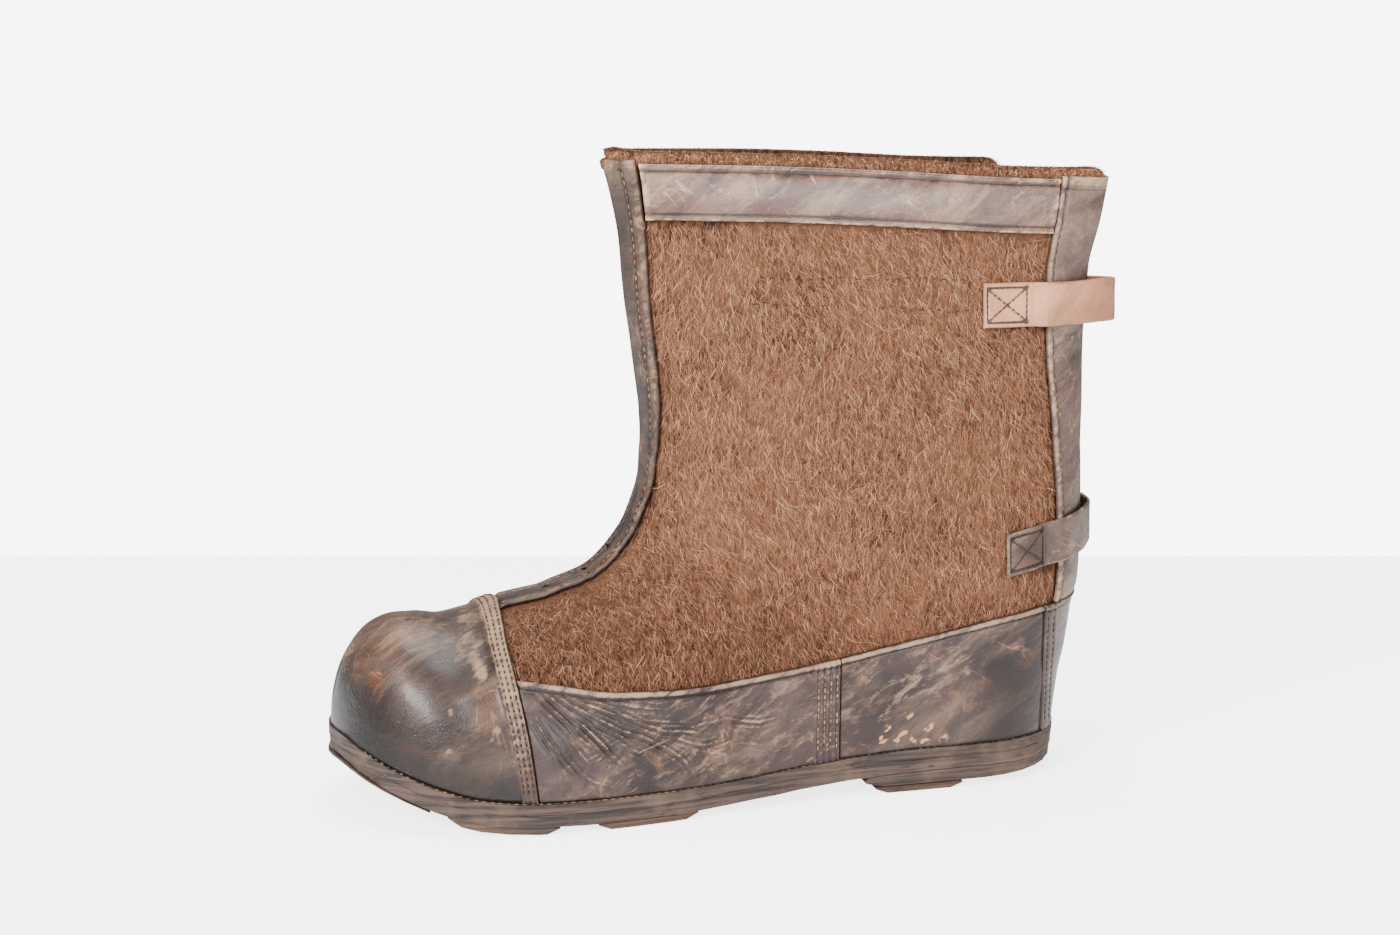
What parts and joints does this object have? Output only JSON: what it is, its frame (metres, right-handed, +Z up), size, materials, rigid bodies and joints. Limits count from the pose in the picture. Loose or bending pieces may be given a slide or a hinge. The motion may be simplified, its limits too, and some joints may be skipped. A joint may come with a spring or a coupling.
{
  "type": "felt winter boot",
  "caption": "Left winter boot of thick hair felt with a domed leather toe cap, leather rand and edges, an open back slit bridged by straps, and a stitched leather sole with tread bars.",
  "frame": {"origin": "on the floor, in the middle of the heel bar's flat underside", "axes": "+Z up, +X from the toe towards the heel, +Y towards the inner side of the left foot"},
  "size_m": [0.3687, 0.1303, 0.2968],
  "materials": {
    "felt": "hairy felt, matt",
    "dark_leather": "worn, half gloss",
    "tan_leather": "smooth, half gloss",
    "sole_leather": "worn, matt",
    "insole_leather": "matt"
  },
  "bodies": {
    "root": {"upper_felt": "felt", "toe_cap": "dark_leather", "rand_front_lateral": "dark_leather", "rand_front_medial": "dark_leather", "rand_rear_lateral": "dark_leather", "rand_rear_medial": "dark_leather", "heel_counter": "dark_leather", "front_strip": "dark_leather", "collar_band_lateral": "dark_leather", "collar_band_medial": "dark_leather", "back_binding_lateral": "dark_leather", "back_binding_medial": "dark_leather", "upper_strap": "tan_leather", "lower_strap": "dark_leather", "insole": "insole_leather", "midsole": "sole_leather", "outsole": "sole_leather", "toe_plate": "sole_leather", "tread_bar_front": "sole_leather", "tread_bar_rear": "sole_leather", "heel_lift": "sole_leather", "heel_bar": "sole_leather"}
  },
  "joints": []
}
